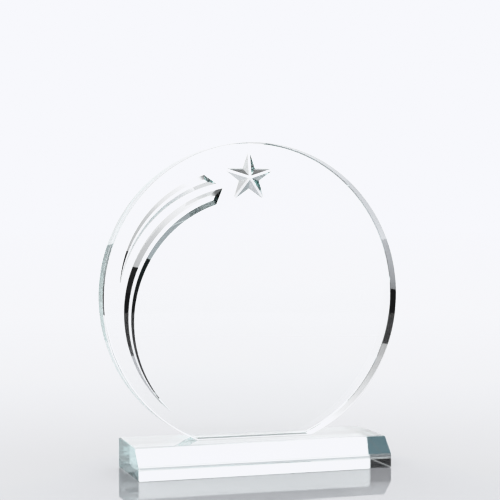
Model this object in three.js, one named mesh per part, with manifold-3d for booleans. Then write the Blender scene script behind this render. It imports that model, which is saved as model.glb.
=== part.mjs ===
// A clear star trophy: a thick round plate with a flat foot, carved from behind with a five-pointed
// star and two curved comet tails, bonded upright on a clear bar with a sloped front edge.
// Millimetres, +Z up, the front faces -Y. The origin is at the middle of the footprint.

import * as THREE from "three";
import { mergeVertices } from "three/addons/utils/BufferGeometryUtils.js";
import Module from "manifold-3d";

const wasm = await Module();
wasm.setup();

// The bar that the plate stands on.
const BAR_LENGTH = 150;
const BAR_DEPTH = 50;
const BAR_HEIGHT = 17.3;
const BAR_FRONT_BEVEL = 9.4;

// The cured adhesive between the bar and the plate's foot.
const BOND_THICKNESS = 0.2;

// The round plate.
const PLATE_RADIUS = 88.9;
const PLATE_THICKNESS = 15.9;
const PLATE_CENTRE_Z = 99.5;
const PLATE_MIDDLE_Y = 7.5;
const PLATE_SEGMENTS = 192;

// Every sharp edge is ground back and polished.
const ARRIS = 0.4;

// One wheel cuts the star's facets and the tails' walls, all at this slope from the rear face.
const WALL_SLOPE = THREE.MathUtils.degToRad(45);

// The star's place is measured from the plate's centre. Its facets slope down to its middle, and its
// valleys are cut off flat by this much, which also shortens its tips.
const STAR_X = -0.6;
const STAR_Z = 68.7;
const STAR_POINTS = 5;
const STAR_TIP_RADIUS = 16.5;
const STAR_NOTCH_RADIUS = 6.5;
const STAR_VALLEY_FLAT = 0.65;

// A tail lies between two circular arcs, whose centres are measured from the plate's centre.
// Its head is cut off along a line from its corner to its tip, given the same way.
const TAILS = {
  inner: {
    outerArc: { x: -2, z: -9.4, radius: 73.2 },
    innerArc: { x: 2.3, z: -15, radius: 71.5 },
    startAngle: 103,
    endAngle: 234,
    headCorner: { x: -20.1, z: 53.4 },
    headTip: { x: -16.9, z: 61.3 },
  },
  outer: {
    outerArc: { x: -7.7, z: 2.9, radius: 70 },
    innerArc: { x: -4.4, z: -7.8, radius: 74.4 },
    startAngle: 104,
    endAngle: 174,
    headCorner: { x: -27.8, z: 70.1 },
    headTip: { x: -21.2, z: 65.6 },
  },
};
// The flat floor's share of a tail's width.
const TAIL_FLOOR_SHARE = 0.25;
const TAIL_STEPS = 64;

// How far a cutter stands out of the face that it cuts.
const OVERCUT = 1;

const PLATE_FRONT_Y = PLATE_MIDDLE_Y - PLATE_THICKNESS / 2;
const PLATE_REAR_Y = PLATE_MIDDLE_Y + PLATE_THICKNESS / 2;
const FOOT_Z = BAR_HEIGHT + BOND_THICKNESS;
const FOOT_DROP = PLATE_CENTRE_Z - FOOT_Z;
const FOOT_HALF_LENGTH = Math.sqrt(PLATE_RADIUS ** 2 - FOOT_DROP ** 2);

// The star's middle is as deep as the slope takes it from the straight edge between a tip and a notch.
const STAR_HALF_TURN = Math.PI / STAR_POINTS;
const STAR_NOTCH_ACROSS = STAR_NOTCH_RADIUS * Math.sin(STAR_HALF_TURN);
const STAR_NOTCH_ALONG = STAR_NOTCH_RADIUS * Math.cos(STAR_HALF_TURN);
const STAR_EDGE = Math.hypot(STAR_NOTCH_ACROSS, STAR_TIP_RADIUS - STAR_NOTCH_ALONG);
const STAR_EDGE_DISTANCE = (STAR_TIP_RADIUS * STAR_NOTCH_ACROSS) / STAR_EDGE;
const STAR_DEPTH = STAR_EDGE_DISTANCE * Math.tan(WALL_SLOPE);

function material(color, roughness) {
  return new THREE.MeshStandardMaterial({
    color,
    roughness,
    metalness: 0,
    transparent: true,
    opacity: 0.4,
  });
}

/** An outline pushed through a thickness, with its edges chamfered inside that size. */
function chamferedExtrusion(shape, thickness, curveSegments) {
  return new THREE.ExtrudeGeometry(shape, {
    depth: thickness - 2 * ARRIS,
    curveSegments,
    bevelEnabled: true,
    bevelThickness: ARRIS,
    bevelSize: ARRIS,
    bevelOffset: -ARRIS,
    bevelSegments: 1,
  });
}

/** A three.js geometry as a solid whose triangles share their corners. */
function solidFrom(geometry) {
  const plain = geometry.clone();
  plain.deleteAttribute("normal");
  plain.deleteAttribute("uv");
  const merged = mergeVertices(plain, 1e-4);
  return new wasm.Manifold(
    new wasm.Mesh({
      numProp: 3,
      vertProperties: new Float32Array(merged.attributes.position.array),
      triVerts: new Uint32Array(merged.index.array),
    }),
  );
}

/** A solid back as a three.js geometry. */
function geometryFrom(solid) {
  const mesh = solid.getMesh();
  const geometry = new THREE.BufferGeometry();
  geometry.setAttribute("position", new THREE.BufferAttribute(mesh.vertProperties, 3));
  geometry.setIndex(new THREE.BufferAttribute(mesh.triVerts, 1));
  const faceted = geometry.toNonIndexed();
  faceted.computeVertexNormals();
  return faceted;
}

/** A closed skin over rings of corners, with a flat cap on its first and last ring. */
function loft(rings) {
  const count = rings[0].length;
  const corners = rings.flat().flatMap((point) => [point.x, point.y, point.z]);
  const triangles = [];
  for (let ring = 0; ring + 1 < rings.length; ring++) {
    for (let i = 0; i < count; i++) {
      const a = ring * count + i;
      const b = ring * count + ((i + 1) % count);
      triangles.push(a, b, a + count, b, b + count, a + count);
    }
  }
  const last = (rings.length - 1) * count;
  for (let i = 1; i + 1 < count; i++) {
    triangles.push(0, i + 1, i, last, last + i, last + i + 1);
  }
  const geometry = new THREE.BufferGeometry();
  geometry.setAttribute("position", new THREE.Float32BufferAttribute(corners, 3));
  geometry.setIndex(triangles);
  return geometry;
}

/** The plate's outline: a circle cut off flat at the foot. */
function plateOutline() {
  const start = Math.atan2(-FOOT_DROP, FOOT_HALF_LENGTH);
  const shape = new THREE.Shape();
  shape.absarc(0, 0, PLATE_RADIUS, start, Math.PI - start, false);
  shape.closePath();
  return shape;
}

/** Evenly turned corners round the star's middle, with the radius repeating through a list. */
function starRim(radii, firstAngle, y) {
  const count = radii.length * STAR_POINTS;
  const corners = [];
  for (let i = 0; i < count; i++) {
    const angle = firstAngle + (i * 2 * Math.PI) / count;
    const radius = radii[i % radii.length];
    const x = STAR_X + radius * Math.cos(angle);
    const z = PLATE_CENTRE_Z + STAR_Z + radius * Math.sin(angle);
    corners.push(new THREE.Vector3(x, y, z));
  }
  return corners;
}

/** A closed point over a rim behind the rear face, down to a depth at the star's middle. */
function starPoint(rim, depth) {
  const apex = new THREE.Vector3(STAR_X, PLATE_REAR_Y - depth, PLATE_CENTRE_Z + STAR_Z);
  const middle = new THREE.Vector3(STAR_X, PLATE_REAR_Y + OVERCUT, PLATE_CENTRE_Z + STAR_Z);
  const corners = [apex, middle, ...rim];
  const triangles = [];
  for (let i = 0; i < rim.length; i++) {
    const a = 2 + i;
    const b = 2 + ((i + 1) % rim.length);
    triangles.push(0, a, b, 1, b, a);
  }
  const geometry = new THREE.BufferGeometry().setFromPoints(corners);
  geometry.setIndex(triangles);
  return solidFrom(geometry);
}

/** The star's cutter: a sharp faceted star, whose valleys a blunter five-sided point makes flat. */
function starCutter() {
  const share = (STAR_DEPTH + OVERCUT) / STAR_DEPTH;
  const sharpRadii = [share * STAR_TIP_RADIUS, share * STAR_NOTCH_RADIUS];
  const sharp = starPoint(starRim(sharpRadii, Math.PI / 2, PLATE_REAR_Y + OVERCUT), STAR_DEPTH);
  const bluntDepth = STAR_DEPTH - STAR_VALLEY_FLAT;
  const valleyFall = STAR_DEPTH / STAR_TIP_RADIUS;
  const bluntRadius = (bluntDepth + OVERCUT) / valleyFall / Math.cos(STAR_HALF_TURN);
  const bluntRim = starRim([bluntRadius], Math.PI / 2 + STAR_HALF_TURN, PLATE_REAR_Y + OVERCUT);
  return sharp.intersect(starPoint(bluntRim, bluntDepth));
}

/** How far from the plate's centre an arc lies, in the direction of an angle. */
function reach(arc, angle) {
  const along = arc.x * Math.cos(angle) + arc.z * Math.sin(angle);
  return along + Math.sqrt(arc.radius ** 2 - arc.x ** 2 - arc.z ** 2 + along ** 2);
}

/** A tail's trapezium section at an angle round the plate: two sloped walls and a flat floor. */
function tailSection(tail, angle) {
  const outer = reach(tail.outerArc, angle);
  const inner = reach(tail.innerArc, angle);
  const width = outer - inner;
  const wall = ((1 - TAIL_FLOOR_SHARE) * width) / 2;
  const depth = wall * Math.tan(WALL_SLOPE);
  const spread = OVERCUT / Math.tan(WALL_SLOPE);
  const outline = [
    [inner - spread, PLATE_REAR_Y + OVERCUT],
    [inner + wall, PLATE_REAR_Y - depth],
    [outer - wall, PLATE_REAR_Y - depth],
    [outer + spread, PLATE_REAR_Y + OVERCUT],
  ];
  return outline.map(([radius, y]) => {
    const z = PLATE_CENTRE_Z + radius * Math.sin(angle);
    return new THREE.Vector3(radius * Math.cos(angle), y, z);
  });
}

/** The block that cuts a tail's head off with a sloped end facet. */
function headTrim(tail) {
  const size = 60;
  const edge = new THREE.Vector3(
    tail.headTip.x - tail.headCorner.x,
    0,
    tail.headTip.z - tail.headCorner.z,
  ).normalize();
  const rear = new THREE.Vector3(0, 1, 0);
  const ahead = new THREE.Vector3().crossVectors(edge, rear);
  if (ahead.x < 0) {
    ahead.negate();
  }
  const facet = ahead
    .clone()
    .multiplyScalar(Math.sin(WALL_SLOPE))
    .addScaledVector(rear, -Math.cos(WALL_SLOPE));
  const across = new THREE.Vector3().crossVectors(facet, edge);
  const placed = new THREE.Matrix4().makeBasis(facet, edge, across);
  placed.setPosition(
    new THREE.Vector3(tail.headTip.x, PLATE_REAR_Y, PLATE_CENTRE_Z + tail.headTip.z)
      .addScaledVector(facet, size / 2),
  );
  return solidFrom(new THREE.BoxGeometry(size, size, size).applyMatrix4(placed));
}

/** A tail's cutter: its sections lofted from head to end, with the head cut off. */
function tailCutter(tail) {
  const rings = [];
  for (let step = 0; step <= TAIL_STEPS; step++) {
    const degrees = THREE.MathUtils.lerp(tail.startAngle, tail.endAngle, step / TAIL_STEPS);
    rings.push(tailSection(tail, THREE.MathUtils.degToRad(degrees)));
  }
  return solidFrom(loft(rings)).subtract(headTrim(tail));
}

/** The carved plate. */
function starPlate() {
  const blank = chamferedExtrusion(plateOutline(), PLATE_THICKNESS, PLATE_SEGMENTS);
  blank.translate(0, 0, -PLATE_THICKNESS / 2 + ARRIS);
  blank.rotateX(Math.PI / 2);
  blank.translate(0, PLATE_MIDDLE_Y, PLATE_CENTRE_Z);
  let plate = solidFrom(blank).subtract(starCutter());
  for (const tail of Object.values(TAILS)) {
    plate = plate.subtract(tailCutter(tail));
  }
  const mesh = new THREE.Mesh(geometryFrom(plate), material(0xe9f4f1, 0.03));
  mesh.name = "star_plate";
  return mesh;
}

/** The bar, extruded along its length from its end outline. */
function plinthBar() {
  const end = new THREE.Shape();
  end.moveTo(-BAR_DEPTH / 2, 0);
  end.lineTo(BAR_DEPTH / 2, 0);
  end.lineTo(BAR_DEPTH / 2, BAR_HEIGHT);
  end.lineTo(-BAR_DEPTH / 2 + BAR_FRONT_BEVEL, BAR_HEIGHT);
  end.lineTo(-BAR_DEPTH / 2, BAR_HEIGHT - BAR_FRONT_BEVEL);
  end.closePath();
  const geometry = chamferedExtrusion(end, BAR_LENGTH, 1);
  geometry.translate(0, 0, -BAR_LENGTH / 2 + ARRIS);
  geometry.rotateX(Math.PI / 2);
  geometry.rotateZ(Math.PI / 2);
  const mesh = new THREE.Mesh(geometry, material(0xe3f0ec, 0.03));
  mesh.name = "plinth_bar";
  return mesh;
}

/** The adhesive film under the plate's foot. */
function adhesiveFilm() {
  const length = 2 * (FOOT_HALF_LENGTH - ARRIS);
  const depth = PLATE_THICKNESS - 2 * ARRIS;
  const geometry = new THREE.BoxGeometry(length, depth, BOND_THICKNESS);
  const mesh = new THREE.Mesh(geometry, material(0xeef6f4, 0.1));
  mesh.position.set(0, PLATE_MIDDLE_Y, BAR_HEIGHT + BOND_THICKNESS / 2);
  mesh.name = "adhesive_film";
  return mesh;
}

const trophy = new THREE.Group();
trophy.add(plinthBar(), adhesiveFilm(), starPlate());

export default trophy;
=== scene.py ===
"""Looks for the star trophy: a clear carved plate on a clear bar, on a pale glossy table.

Everything is in metres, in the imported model's frame: +Z up, the trophy's front faces -Y.
"""

import math

import bmesh
import bpy
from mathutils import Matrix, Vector


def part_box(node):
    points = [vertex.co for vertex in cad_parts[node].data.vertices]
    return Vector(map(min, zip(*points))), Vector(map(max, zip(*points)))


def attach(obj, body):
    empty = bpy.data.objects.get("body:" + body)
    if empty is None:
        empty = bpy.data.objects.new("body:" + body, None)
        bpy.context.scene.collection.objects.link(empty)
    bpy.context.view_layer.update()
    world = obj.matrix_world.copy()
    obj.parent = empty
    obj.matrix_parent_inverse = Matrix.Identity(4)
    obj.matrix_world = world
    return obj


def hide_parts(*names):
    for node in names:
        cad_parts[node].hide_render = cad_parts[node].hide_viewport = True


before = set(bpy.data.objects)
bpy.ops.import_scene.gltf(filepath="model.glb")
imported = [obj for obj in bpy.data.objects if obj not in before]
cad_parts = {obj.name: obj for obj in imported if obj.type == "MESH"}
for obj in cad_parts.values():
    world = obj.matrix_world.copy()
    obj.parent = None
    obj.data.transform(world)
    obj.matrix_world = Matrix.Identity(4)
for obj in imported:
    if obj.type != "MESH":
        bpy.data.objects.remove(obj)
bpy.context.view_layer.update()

MM = 0.001

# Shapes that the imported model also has, beyond what its boxes give. Tail arcs are x, z and radius.
BAR_FRONT_BEVEL = 9.4 * MM
WALL_SLOPE = math.radians(45)
STAR_OFFSET = (-0.6 * MM, 68.7 * MM)
STAR_POINTS = 5
STAR_TIP_RADIUS = 16.5 * MM
STAR_NOTCH_RADIUS = 6.5 * MM
STAR_VALLEY_FLAT = 0.65 * MM
TAILS = {
    "inner": {
        "outer_arc": (-2 * MM, -9.4 * MM, 73.2 * MM),
        "inner_arc": (2.3 * MM, -15 * MM, 71.5 * MM),
        "angles": (103, 234),
        "corner": (-20.1 * MM, 53.4 * MM),
        "tip": (-16.9 * MM, 61.3 * MM),
    },
    "outer": {
        "outer_arc": (-7.7 * MM, 2.9 * MM, 70 * MM),
        "inner_arc": (-4.4 * MM, -7.8 * MM, 74.4 * MM),
        "angles": (104, 174),
        "corner": (-27.8 * MM, 70.1 * MM),
        "tip": (-21.2 * MM, 65.6 * MM),
    },
}
TAIL_FLOOR_SHARE = 0.25
OVERCUT = 1 * MM
ARRIS = 0.4 * MM
TRIM_REACH = 30 * MM

# How finely the shapes are made here.
RIM_SEGMENTS = 512
TAIL_STEPS = 200
ARRIS_STEPS = 3
CREASE = math.radians(12)

# The adhesive's edge: ripples as waves round the outline, their phase and their share of the shrink.
FILM_EDGE_STEPS = 240
FILM_SHRINK = 0.15 * MM
FILM_RIPPLES = ((9, 1, 0.5), (23, 0, 0.3))

# How nearly a joined face has to point up or down, and lie at its height.
LEVEL_NORMAL = 0.999
LEVEL_TOLERANCE = 0.01 * MM

# Clear acrylic, and the bond between the two blocks.
GLASS_IOR = 1.49
PLATE_TINT = (0.89, 0.95, 0.945)
BAR_TINT = (0.84, 0.93, 0.93)
GLASS_DENSITY = 10
POLISH_WAVE = 9 * MM
POLISH_DEPTH = 0.002 * MM
POLISH_HAZE = 0.006
BUBBLE_SPACING = 1.6 * MM
BUBBLE_SIZE = 0.16
BUBBLE_RARITY = 0.6
BUBBLE_GROUP = 4
BUBBLE_ALPHA = 0.5
BOND_ALPHA = 0.01
BOND_ROUGHNESS = 0.2
BOND_TINT = ((0.86, 0.92, 0.9), (0.93, 0.96, 0.95))

# The surround's brightness and the view's response to light, as light and tone.
BACKDROP = 1.4
RESPONSE_WHITE = 2
RESPONSE_CURVE = ((0, 0), (0.78, 0.78), (1, 0.89), (1.15, 0.925), (1.4, 0.937), (2, 1))
RESPONSE_COOLING = (-0.007, 0, 0.036)

# The surround as glass shows it: stops are degrees and levels. Azimuths run from +Y towards +X.
WHITE = (1, 1, 1, 1)
LEFT_FADE = (
    (-180, 1),
    (-134, 1),
    (-114, 0.05),
    (-45, 0.08),
    (-26, 0.2),
    (-19, 0.36),
    (-11, 0.5),
    (-4, 0.66),
    (4, 1),
)
HIGH_RELEASE = ((40, 0), (60, 1))
DUSK_COLOUR = (0.045, 0.105, 0.125)
DUSK_AZIMUTHS = ((-115, 0), (-95, 1), (-24, 1), (-14, 0))
DUSK_ELEVATIONS = ((25, 0), (30, 1), (45, 1), (58, 0))
CEILING_GAP_TOWARDS = (0.207, 0.022, 0.978)
CEILING_GAP = ((17, 0), (12, 1))
CEILING_GAP_LEVEL = 0.12
FAR_LEFT = ((-34, 1), (-28, 0))
FAR_LEFT_LEAST_DEPTH = 3

# The table: painted shade around the trophy, and painted light under its bar.
TABLE_RADIUS = 12
TABLE_SEGMENTS = 128
TABLE_GAP = 0.1 * MM
TABLE_COLOUR = (0.5, 0.51, 0.53)
TABLE_SHADE = 0.4
TABLE_SHADE_REACH = 0.4
# Painted light under the bar: its colour, and the width over which it eases in at the bar's edges.
TABLE_PAINTED_LIGHT_UNDER_BAR = (0.5, 0.52, 0.52)
TABLE_PAINTED_LIGHT_UNDER_BAR_EDGE = 4 * MM
TABLE_IOR = 1.3
TABLE_ROUGHNESS = 0.015

# The cards round the trophy: how far off they stand, and their greys.
CARD_STEPS = 24
LEFT_CARD_RADIUS = 1.4
NEAR_CARD_RADIUS = 0.265
FAR_RIGHT_CARD_RADIUS = 1.8
RIGHT_CARD_RADIUS = 0.2
FRONT_CARD_RADIUS = 1.35
FRONT_CARD_LEAST_LENGTH = 1.2
BLACK = 0.01
HAZE = 0.75

# Whole counts are compared with a value halfway below them.
HALF_COUNT = 0.5

LIGHT_BOUNCES = 48

# The viewpoint.
CAMERA_AIM = (-0.003, 0, 0.12606)
CAMERA_AZIMUTH = math.radians(-17.8)
CAMERA_ELEVATION = math.radians(1.34)
CAMERA_DISTANCE = 0.829
CAMERA_LENS = 103.3
CAMERA_SENSOR = 36
CAMERA_NEAR = 0.01

plate_low, plate_high = (Vector(corner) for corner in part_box("star_plate"))
bar_low, bar_high = (Vector(corner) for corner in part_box("plinth_bar"))
film_low, film_high = (Vector(corner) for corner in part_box("adhesive_film"))
PLATE_RADIUS = (plate_high.x - plate_low.x) / 2
PLATE_FRONT = plate_low.y
PLATE_REAR = plate_high.y
PLATE_CENTRE = Vector((0, (PLATE_FRONT + PLATE_REAR) / 2, plate_high.z - PLATE_RADIUS))
FOOT = plate_low.z


def mesh_object(name, corners, faces):
    mesh = bpy.data.meshes.new(name)
    mesh.from_pydata(corners, [], faces)
    mesh.validate()
    piece = bpy.data.objects.new(name, mesh)
    bpy.context.scene.collection.objects.link(piece)
    return piece


def loft(name, rings):
    """A closed skin over rings of corners, capped at both ends, with its faces turned out."""
    count = len(rings[0])
    corners = [corner for ring in rings for corner in ring]
    faces = [tuple(range(count))]
    for ring in range(len(rings) - 1):
        for i in range(count):
            a = ring * count + i
            b = ring * count + (i + 1) % count
            faces.append((a, a + count, b + count, b))
    last = (len(rings) - 1) * count
    faces.append(tuple(range(last + count - 1, last - 1, -1)))
    piece = mesh_object(name, corners, faces)
    face_out(piece)
    return piece


def face_out(piece):
    edit = bmesh.new()
    edit.from_mesh(piece.data)
    bmesh.ops.recalc_face_normals(edit, faces=edit.faces)
    edit.to_mesh(piece.data)
    edit.free()


def combine(piece, tool, operation):
    """Applies a boolean with the tool, then throws the tool away."""
    modifier = piece.modifiers.new("combine", "BOOLEAN")
    modifier.operation = operation
    modifier.solver = "EXACT"
    modifier.object = tool
    graph = bpy.context.evaluated_depsgraph_get()
    result = bpy.data.meshes.new_from_object(piece.evaluated_get(graph))
    piece.modifiers.clear()
    old = piece.data
    piece.data = result
    bpy.data.meshes.remove(old)
    bpy.data.objects.remove(tool)


def shade(piece, angle):
    """Smooth across shallow edges and crisp across the rest; flat faces stay exactly flat."""
    piece.data.shade_smooth()
    piece.data.set_sharp_from_angle(angle=angle)


def plate_point(x, y, z):
    return Vector((x, y, PLATE_CENTRE.z + z))


def plate_outline(inset, y):
    """The circle with its flat foot, set in from full size."""
    radius = PLATE_RADIUS - inset
    drop = PLATE_CENTRE.z - FOOT - inset
    start = math.asin(-drop / radius)
    sweep = math.pi - 2 * start
    points = []
    for i in range(RIM_SEGMENTS + 1):
        angle = start + sweep * i / RIM_SEGMENTS
        points.append(plate_point(radius * math.cos(angle), y, radius * math.sin(angle)))
    return points


def star_rim(radii, first_angle, y):
    """Evenly turned corners round the star's middle, with the radius repeating through a list."""
    count = len(radii) * STAR_POINTS
    corners = []
    for i in range(count):
        angle = first_angle + 2 * math.pi * i / count
        radius = radii[i % len(radii)]
        x = STAR_OFFSET[0] + radius * math.cos(angle)
        z = STAR_OFFSET[1] + radius * math.sin(angle)
        corners.append(plate_point(x, y, z))
    return corners


def star_point(name, rim, depth):
    """A closed point over a rim behind the rear face, down to a depth at the star's middle."""
    count = len(rim)
    x, z = STAR_OFFSET
    ends = [plate_point(x, PLATE_REAR - depth, z), plate_point(x, PLATE_REAR + OVERCUT, z)]
    faces = []
    for i in range(count):
        j = (i + 1) % count
        faces.append((count, i, j))
        faces.append((count + 1, j, i))
    piece = mesh_object(name, rim + ends, faces)
    face_out(piece)
    return piece


def star_cutter():
    """A sharp faceted star, whose valleys a blunter five-sided point makes flat and narrow."""
    half_turn = math.pi / STAR_POINTS
    across = STAR_NOTCH_RADIUS * math.sin(half_turn)
    along = STAR_NOTCH_RADIUS * math.cos(half_turn)
    edge = math.hypot(across, STAR_TIP_RADIUS - along)
    depth = STAR_TIP_RADIUS * across / edge * math.tan(WALL_SLOPE)
    share = (depth + OVERCUT) / depth
    top = PLATE_REAR + OVERCUT
    radii = (share * STAR_TIP_RADIUS, share * STAR_NOTCH_RADIUS)
    star = star_point("star_cutter", star_rim(radii, math.pi / 2, top), depth)
    blunt_depth = depth - STAR_VALLEY_FLAT
    reach = (blunt_depth + OVERCUT) * STAR_TIP_RADIUS / depth / math.cos(half_turn)
    blunt_rim = star_rim((reach,), math.pi / 2 + half_turn, top)
    combine(star, star_point("blunt_point", blunt_rim, blunt_depth), "INTERSECT")
    return star


def reach_of(arc, angle):
    x, z, radius = arc
    along = x * math.cos(angle) + z * math.sin(angle)
    return along + math.sqrt(radius**2 - x**2 - z**2 + along**2)


def tail_section(tail, angle):
    outer = reach_of(tail["outer_arc"], angle)
    inner = reach_of(tail["inner_arc"], angle)
    width = outer - inner
    wall = (1 - TAIL_FLOOR_SHARE) * width / 2
    depth = wall * math.tan(WALL_SLOPE)
    spread = OVERCUT / math.tan(WALL_SLOPE)
    outline = [
        (inner - spread, PLATE_REAR + OVERCUT),
        (inner + wall, PLATE_REAR - depth),
        (outer - wall, PLATE_REAR - depth),
        (outer + spread, PLATE_REAR + OVERCUT),
    ]
    return [
        plate_point(radius * math.cos(angle), y, radius * math.sin(angle))
        for radius, y in outline
    ]


def head_trim(tail):
    """The block whose sloped face cuts off a tail's head."""
    tip, corner = Vector(tail["tip"]), Vector(tail["corner"])
    edge = Vector((tip.x - corner.x, 0, tip.y - corner.y)).normalized()
    rear = Vector((0, 1, 0))
    ahead = edge.cross(rear)
    if ahead.x < 0:
        ahead.negate()
    facet = ahead * math.sin(WALL_SLOPE) - rear * math.cos(WALL_SLOPE)
    across = facet.cross(edge)
    start = plate_point(tip.x, PLATE_REAR, tip.y)
    rings = []
    for forward in (0, 2 * TRIM_REACH):
        rings.append(
            [
                start + facet * forward + edge * (TRIM_REACH * u) + across * (TRIM_REACH * v)
                for u, v in ((-1, -1), (1, -1), (1, 1), (-1, 1))
            ]
        )
    return loft("head_trim", rings)


def tail_cutter(name, tail):
    first, last = tail["angles"]
    rings = []
    for step in range(TAIL_STEPS + 1):
        angle = math.radians(first + (last - first) * step / TAIL_STEPS)
        rings.append(tail_section(tail, angle))
    cutter = loft(name + "_tail_cutter", rings)
    combine(cutter, head_trim(tail), "DIFFERENCE")
    return cutter


def build_plate():
    plate = loft(
        "carved_plate",
        [
            plate_outline(ARRIS, PLATE_FRONT),
            plate_outline(0, PLATE_FRONT + ARRIS),
            plate_outline(0, PLATE_REAR - ARRIS),
            plate_outline(ARRIS, PLATE_REAR),
        ],
    )
    combine(plate, star_cutter(), "DIFFERENCE")
    for name, tail in TAILS.items():
        combine(plate, tail_cutter(name, tail), "DIFFERENCE")
    shade(plate, CREASE)
    return plate


def build_bar():
    """The bar, with every edge taken back to a narrow rounded arris, and a patch for the bond."""
    outline = [
        (bar_low.y, bar_low.z),
        (bar_high.y, bar_low.z),
        (bar_high.y, bar_high.z),
        (bar_low.y + BAR_FRONT_BEVEL, bar_high.z),
        (bar_low.y, bar_high.z - BAR_FRONT_BEVEL),
    ]
    rings = [[Vector((x, y, z)) for y, z in outline] for x in (bar_low.x, bar_high.x)]
    bar = loft("polished_bar", rings)
    edit = bmesh.new()
    edit.from_mesh(bar.data)
    bmesh.ops.bevel(
        edit,
        geom=edit.edges[:],
        offset=ARRIS,
        offset_type="OFFSET",
        segments=ARRIS_STEPS,
        affect="EDGES",
    )
    for corner, axis in ((film_low, "x"), (film_high, "x"), (film_low, "y"), (film_high, "y")):
        split_at(edit, corner, axis)
    edit.to_mesh(bar.data)
    edit.free()
    return bar


def split_at(edit, corner, axis):
    """Splits the faces along a level line through a corner, so that a patch gets its own face."""
    across = Vector((axis == "x", axis == "y", 0))
    geometry = edit.verts[:] + edit.edges[:] + edit.faces[:]
    bmesh.ops.bisect_plane(edit, geom=geometry, plane_co=corner, plane_no=across)


def build_film():
    """The cured adhesive, which has crept to a slightly wavy edge just inside the plate's foot."""
    half_x, half_y = (film_high.x - film_low.x) / 2, (film_high.y - film_low.y) / 2
    middle = (film_high + film_low) / 2
    outline = []
    for i in range(FILM_EDGE_STEPS):
        turn = 2 * math.pi * i / FILM_EDGE_STEPS
        waves = [share * math.sin(count * turn + phase) for count, phase, share in FILM_RIPPLES]
        ripple = FILM_SHRINK * (1 + waves[0] + waves[1])
        cos, sin = math.cos(turn), math.sin(turn)
        square = max(abs(cos), abs(sin))
        outline.append(
            (
                middle.x + (half_x - ripple) * cos / square,
                middle.y + (half_y - ripple) * sin / square,
            )
        )
    rings = [[Vector((x, y, z)) for x, y in outline] for z in (film_low.z, film_high.z)]
    return loft("bonding_film", rings)


def glue_faces(piece, material, height, low, high):
    """Gives the level faces at that height, inside those bounds, the joined material."""
    piece.data.materials.append(material)
    slot = len(piece.data.materials) - 1
    for face in piece.data.polygons:
        middle = face.center
        upright = abs(face.normal.z) > LEVEL_NORMAL
        level = upright and abs(middle.z - height) < LEVEL_TOLERANCE
        if level and low.x < middle.x < high.x and low.y < middle.y < high.y:
            face.material_index = slot


def aim_camera():
    camera = bpy.data.objects.new("camera", bpy.data.cameras.new("camera"))
    bpy.context.scene.collection.objects.link(camera)
    camera.data.lens = CAMERA_LENS
    camera.data.sensor_width = CAMERA_SENSOR
    camera.data.clip_start = CAMERA_NEAR
    away = Vector(
        (
            math.sin(CAMERA_AZIMUTH) * math.cos(CAMERA_ELEVATION),
            -math.cos(CAMERA_AZIMUTH) * math.cos(CAMERA_ELEVATION),
            math.sin(CAMERA_ELEVATION),
        )
    )
    camera.location = Vector(CAMERA_AIM) + CAMERA_DISTANCE * away
    camera.rotation_euler = away.to_track_quat("Z", "Y").to_euler()
    bpy.context.scene.camera = camera


class Graph:
    """Short ways to add nodes to a material's or the world's tree."""

    def __init__(self, owner):
        owner.use_nodes = True
        self.nodes = owner.node_tree.nodes
        self.links = owner.node_tree.links

    def add(self, kind, **settings):
        node = self.nodes.new(kind)
        for name, value in settings.items():
            setattr(node, name, value)
        return node

    def put(self, value, socket):
        """Sets a socket to a plain value, or links it to another node's output."""
        if isinstance(value, bpy.types.NodeSocket):
            self.links.new(value, socket)
        else:
            socket.default_value = value

    def math(self, operation, *values):
        node = self.add("ShaderNodeMath", operation=operation)
        for value, socket in zip(values, node.inputs):
            self.put(value, socket)
        return node.outputs[0]

    def ramp(self, value, stops):
        """Grey levels over a range of values, through (value, grey) stops in rising order."""
        low, high = stops[0][0], stops[-1][0]
        spread = self.math("DIVIDE", self.math("SUBTRACT", value, low), high - low)
        node = self.add("ShaderNodeValToRGB")
        node.color_ramp.interpolation = "EASE"
        elements = node.color_ramp.elements
        while len(elements) < len(stops):
            elements.new(0.5)
        for element, (place, grey) in zip(elements, stops):
            element.position = (place - low) / (high - low)
            element.color = (grey, grey, grey, 1)
        self.put(spread, node.inputs["Fac"])
        return node.outputs["Color"]

    def noise(self, place, size):
        """Soft unevenness from 0 to 1, with lumps of about that size."""
        node = self.add("ShaderNodeTexNoise")
        node.inputs["Scale"].default_value = 1 / size
        node.inputs["Detail"].default_value = 1
        self.put(place, node.inputs["Vector"])
        return node.outputs["Fac"]

    def mix(self, share, first, second):
        node = self.add("ShaderNodeMix", data_type="RGBA")
        self.put(share, node.inputs["Factor"])
        self.put(first, node.inputs[6])
        self.put(second, node.inputs[7])
        return node.outputs[2]


def glass(name, tint):
    """Clear cast acrylic: a faint blue-green in depth, with the slight waviness of hand polishing."""
    material = bpy.data.materials.new(name)
    graph = Graph(material)
    shader = graph.nodes["Principled BSDF"]
    shader.inputs["Base Color"].default_value = WHITE
    shader.inputs["IOR"].default_value = GLASS_IOR
    shader.inputs["Transmission Weight"].default_value = 1
    place = graph.add("ShaderNodeTexCoord").outputs["Object"]
    waves = graph.noise(place, POLISH_WAVE)
    polish = graph.add("ShaderNodeBump")
    polish.inputs["Distance"].default_value = POLISH_DEPTH
    graph.put(waves, polish.inputs["Height"])
    graph.put(polish.outputs["Normal"], shader.inputs["Normal"])
    graph.put(graph.math("MULTIPLY", waves, POLISH_HAZE), shader.inputs["Roughness"])
    depth = graph.add("ShaderNodeVolumeAbsorption")
    depth.inputs["Color"].default_value = (*tint, 1)
    depth.inputs["Density"].default_value = GLASS_DENSITY
    graph.put(depth.outputs["Volume"], graph.nodes["Material Output"].inputs["Volume"])
    return material


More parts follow.
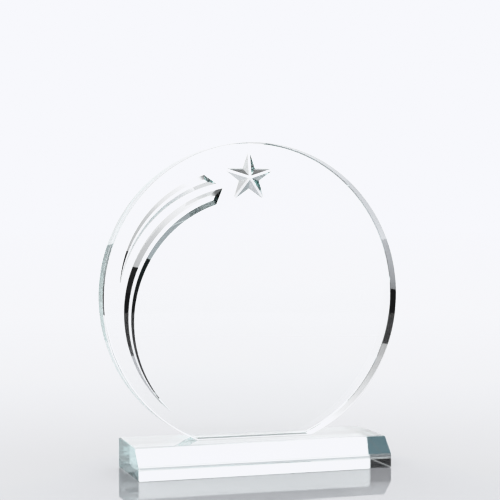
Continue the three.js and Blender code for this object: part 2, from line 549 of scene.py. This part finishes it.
def bond():
    """Cured clear adhesive: light crosses it nearly unbent, but for a few small trapped bubbles."""
    material = bpy.data.materials.new("bond")
    graph = Graph(material)
    shader = graph.nodes["Principled BSDF"]
    shader.inputs["Roughness"].default_value = BOND_ROUGHNESS
    shader.inputs["IOR"].default_value = GLASS_IOR
    place = graph.add("ShaderNodeTexCoord").outputs["Object"]
    cells = graph.add("ShaderNodeTexVoronoi")
    cells.inputs["Scale"].default_value = 1 / BUBBLE_SPACING
    graph.put(place, cells.inputs["Vector"])
    bubble = graph.math("LESS_THAN", cells.outputs["Distance"], BUBBLE_SIZE)
    groups = graph.noise(place, BUBBLE_GROUP * BUBBLE_SPACING)
    rare = graph.math("GREATER_THAN", groups, BUBBLE_RARITY)
    bubble = graph.math("MULTIPLY", bubble, rare)
    alpha = graph.math("MULTIPLY_ADD", bubble, BUBBLE_ALPHA, BOND_ALPHA)
    graph.put(alpha, shader.inputs["Alpha"])
    low, high = BOND_TINT
    colour = graph.mix(graph.noise(place, POLISH_WAVE), (*low, 1), (*high, 1))
    graph.put(colour, shader.inputs["Base Color"])
    return material


def joined_face():
    """A face that is glued to its neighbour, so that light crosses it without bending."""
    material = bpy.data.materials.new("joined_face")
    graph = Graph(material)
    clear = graph.add("ShaderNodeBsdfTransparent")
    graph.put(clear.outputs["BSDF"], graph.nodes["Material Output"].inputs["Surface"])
    graph.nodes.remove(graph.nodes["Principled BSDF"])
    return material


def build_studio():
    """A pale surround that lights everything evenly.

    Through glass it fades out to the left, with a dusky patch there and a dark gap overhead. A look
    to the far left through fewer faces than its least depth still sees it white.
    """
    world = bpy.data.worlds.new("studio")
    bpy.context.scene.world = world
    graph = Graph(world)
    place = graph.add("ShaderNodeTexCoord")
    split = graph.add("ShaderNodeSeparateXYZ")
    graph.put(place.outputs["Generated"], split.inputs[0])
    x, y, z = split.outputs
    azimuth = graph.math("DEGREES", graph.math("ARCTAN2", x, y))
    elevation = graph.math("DEGREES", graph.math("ARCSINE", z))
    fade = graph.ramp(azimuth, LEFT_FADE)
    release = graph.ramp(elevation, HIGH_RELEASE)
    level = graph.mix(release, fade, WHITE)
    dusk = graph.math(
        "MULTIPLY",
        graph.ramp(azimuth, DUSK_AZIMUTHS),
        graph.ramp(elevation, DUSK_ELEVATIONS),
    )
    level = graph.mix(dusk, level, (*DUSK_COLOUR, 1))
    nearness = graph.add("ShaderNodeVectorMath", operation="DOT_PRODUCT")
    graph.put(place.outputs["Generated"], nearness.inputs[0])
    nearness.inputs[1].default_value = CEILING_GAP_TOWARDS
    stops = [(math.cos(math.radians(turn)), share) for turn, share in CEILING_GAP]
    gap = graph.ramp(nearness.outputs["Value"], stops)
    dark = CEILING_GAP_LEVEL
    level = graph.mix(gap, level, (dark, dark, dark, 1))
    path = graph.add("ShaderNodeLightPath")
    enough = FAR_LEFT_LEAST_DEPTH - HALF_COUNT
    shallow = graph.math("LESS_THAN", path.outputs["Ray Depth"], enough)
    aside = graph.math("MULTIPLY", graph.ramp(azimuth, FAR_LEFT), shallow)
    level = graph.mix(aside, level, WHITE)
    level = graph.mix(path.outputs["Is Transmission Ray"], WHITE, level)
    background = graph.nodes["Background"]
    graph.put(level, background.inputs["Color"])
    background.inputs["Strength"].default_value = BACKDROP


def build_card(name, azimuths, radius, height, grey, least_depth, least_length=0):
    """An upright curved card round the trophy, seen only in polished faces or through glass.

    Light that has met fewer faces than the least depth, or come less far than the least length
    since the last one, passes through it. A look straight through the plate meets two faces. A
    card with a least length is seen in polished faces only.
    """
    turns = [
        math.radians(azimuths[0] + (azimuths[1] - azimuths[0]) * i / CARD_STEPS)
        for i in range(CARD_STEPS + 1)
    ]
    corners = [
        Vector((radius * math.sin(turn), radius * math.cos(turn), level))
        for level in (0, height)
        for turn in turns
    ]
    faces = [(i, i + 1, i + CARD_STEPS + 2, i + CARD_STEPS + 1) for i in range(CARD_STEPS)]
    card = mesh_object(name, corners, faces)
    card.data.materials.append(card_finish(name, grey, least_depth, least_length))
    card.visible_camera = False
    card.visible_diffuse = False
    card.visible_shadow = False
    card.visible_transmission = least_length == 0


def card_finish(name, grey, least_depth, least_length):
    """A plain grey for light past the least depth and length, and nothing for the rest."""
    material = bpy.data.materials.new(name)
    graph = Graph(material)
    material.cycles.emission_sampling = "NONE"
    glow = graph.add("ShaderNodeEmission")
    glow.inputs["Color"].default_value = (grey, grey, grey, 1)
    clear = graph.add("ShaderNodeBsdfTransparent")
    path = graph.add("ShaderNodeLightPath")
    deep = graph.math("GREATER_THAN", path.outputs["Ray Depth"], least_depth - HALF_COUNT)
    far = graph.math("GREATER_THAN", path.outputs["Ray Length"], least_length)
    choice = graph.add("ShaderNodeMixShader")
    graph.put(graph.math("MULTIPLY", deep, far), choice.inputs[0])
    graph.put(clear.outputs["BSDF"], choice.inputs[1])
    graph.put(glow.outputs["Emission"], choice.inputs[2])
    graph.put(choice.outputs["Shader"], graph.nodes["Material Output"].inputs["Surface"])
    return material


def build_table():
    """A glossy pale table, with painted shade around the trophy and a little painted light right
    under its bar.
    """
    bpy.ops.mesh.primitive_circle_add(
        vertices=TABLE_SEGMENTS,
        radius=TABLE_RADIUS,
        fill_type="NGON",
    )
    table = bpy.context.object
    table.name = "table"
    table.location.z = -TABLE_GAP
    material = bpy.data.materials.new("table")
    graph = Graph(material)
    shader = graph.nodes["Principled BSDF"]
    place = graph.add("ShaderNodeTexCoord")
    away = graph.add("ShaderNodeVectorMath", operation="LENGTH")
    graph.put(place.outputs["Object"], away.inputs[0])
    # Painted shade: the table's colour darkens towards the trophy and fades out with distance.
    fall = graph.math("EXPONENT", graph.math("DIVIDE", away.outputs["Value"], -TABLE_SHADE_REACH))
    shade = graph.math("MULTIPLY", fall, TABLE_SHADE)
    colour = graph.mix(shade, (*TABLE_COLOUR, 1), (0, 0, 0, 1))
    split = graph.add("ShaderNodeSeparateXYZ")
    graph.put(place.outputs["Object"], split.inputs[0])
    # Painted light: the table's colour is made lighter inside the bar's footprint, easing in over its
    # edges.
    under = None
    for offset, reach in zip(split.outputs, (bar_high.x, bar_high.y)):
        inside = graph.math("SUBTRACT", reach, graph.math("ABSOLUTE", offset))
        inside = graph.ramp(inside, ((0, 0), (TABLE_PAINTED_LIGHT_UNDER_BAR_EDGE, 1)))
        under = graph.math("MULTIPLY", inside, under) if under else inside
    graph.put(graph.mix(under, colour, (*TABLE_PAINTED_LIGHT_UNDER_BAR, 1)), shader.inputs["Base Color"])
    shader.inputs["Roughness"].default_value = TABLE_ROUGHNESS
    shader.inputs["IOR"].default_value = TABLE_IOR
    table.data.materials.append(material)


def set_exposure():
    """A response curve under which the over-bright surround levels off a little cool."""
    view = bpy.context.scene.view_settings
    view.view_transform = "Standard"
    view.use_curve_mapping = True
    mapping = view.curve_mapping
    mapping.white_level = (RESPONSE_WHITE,) * 3
    for curve, shift in zip(mapping.curves, RESPONSE_COOLING):
        points = curve.points
        while len(points) < len(RESPONSE_CURVE):
            points.new(0.5, 0.5)
        for point, (light, tone) in zip(points, RESPONSE_CURVE):
            share = min(light / BACKDROP, 1) ** 2 if light < RESPONSE_WHITE else 0
            point.location = (light / RESPONSE_WHITE, tone + shift * share)
            point.handle_type = "VECTOR"
    mapping.update()


def set_bounces():
    """Enough bounces for light that is turned back many times inside the glass."""
    cycles = bpy.context.scene.cycles
    cycles.max_bounces = LIGHT_BOUNCES
    cycles.transmission_bounces = LIGHT_BOUNCES
    cycles.glossy_bounces = LIGHT_BOUNCES
    cycles.transparent_max_bounces = LIGHT_BOUNCES


aim_camera()
plate = build_plate()
bar = build_bar()
film = build_film()
build_table()
build_studio()
# Each card: its name, its azimuths, its radius, its height, its grey and its least depth.
build_card("left_card", (-112, -28), LEFT_CARD_RADIUS, 0.335, BLACK, 4)
build_card("left_middle_card", (-28, -13.5), LEFT_CARD_RADIUS, 0.335, BLACK, 1)
build_card("left_low_card", (-13.5, -11), LEFT_CARD_RADIUS, 0.27, BLACK, 1)
build_card("near_side_card", (-112, -80), NEAR_CARD_RADIUS, 0.14, BLACK, 3)
build_card("near_left_card", (-80, -34.2), NEAR_CARD_RADIUS, 0.14, BLACK, 4)
build_card("near_middle_card", (-34.2, -31.2), NEAR_CARD_RADIUS, 0.078, BLACK, 2)
build_card("far_right_card", (48, 54), FAR_RIGHT_CARD_RADIUS, 0.15, BLACK, 2)
build_card("right_card", (62, 100), RIGHT_CARD_RADIUS, 0.2, BLACK, 3)
build_card("front_card", (130, 225), FRONT_CARD_RADIUS, 0.2, BLACK, 1, FRONT_CARD_LEAST_LENGTH)
build_card("front_haze_card", (150, 185), FRONT_CARD_RADIUS, 0.42, HAZE, 4)
build_card("front_left_card", (195, 212), FRONT_CARD_RADIUS, 0.4, BLACK, 4)
set_exposure()
set_bounces()

joined = joined_face()
for piece, node, slot, finish in (
    (plate, "star_plate", "plate_crystal", glass("plate_crystal", PLATE_TINT)),
    (bar, "plinth_bar", "plinth_crystal", glass("plinth_crystal", BAR_TINT)),
    (film, "adhesive_film", "bond", bond()),
):
    piece.data.materials.clear()
    piece.data.materials.append(finish)
    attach(piece, "root")
    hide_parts(node)
glue_faces(plate, joined, FOOT, film_low, film_high)
glue_faces(bar, joined, bar_high.z, film_low, film_high)
